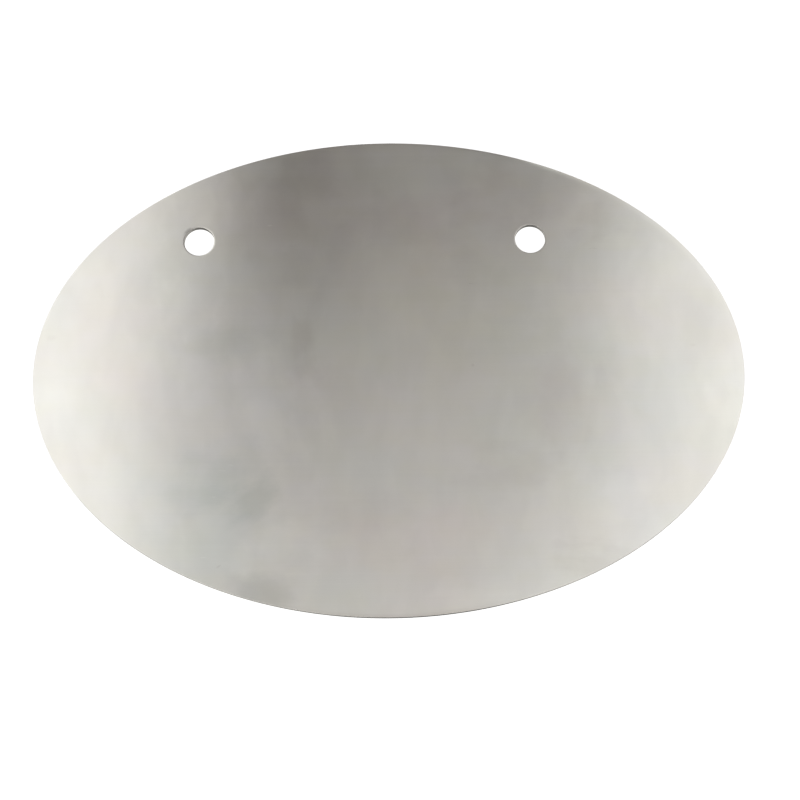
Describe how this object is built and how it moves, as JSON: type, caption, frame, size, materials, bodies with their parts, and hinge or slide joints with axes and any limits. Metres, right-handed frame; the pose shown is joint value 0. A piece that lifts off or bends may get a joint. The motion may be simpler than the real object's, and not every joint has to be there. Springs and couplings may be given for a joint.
{
  "type": "number plate",
  "caption": "Flat oval number plate blank in brushed sheet metal, with round mounting holes through its upper half and plain faces.",
  "frame": {"origin": "middle of the oval on the back face", "axes": "+X along the oval's long axis, to the viewer's right; +Y up the plate towards the mounting holes; +Z out of the front face"},
  "size_m": [0.254, 0.178, 0.002],
  "materials": {
    "plate": "brushed, with the grain along the long axis"
  },
  "bodies": {
    "root": {"plate": "plate"}
  },
  "joints": []
}
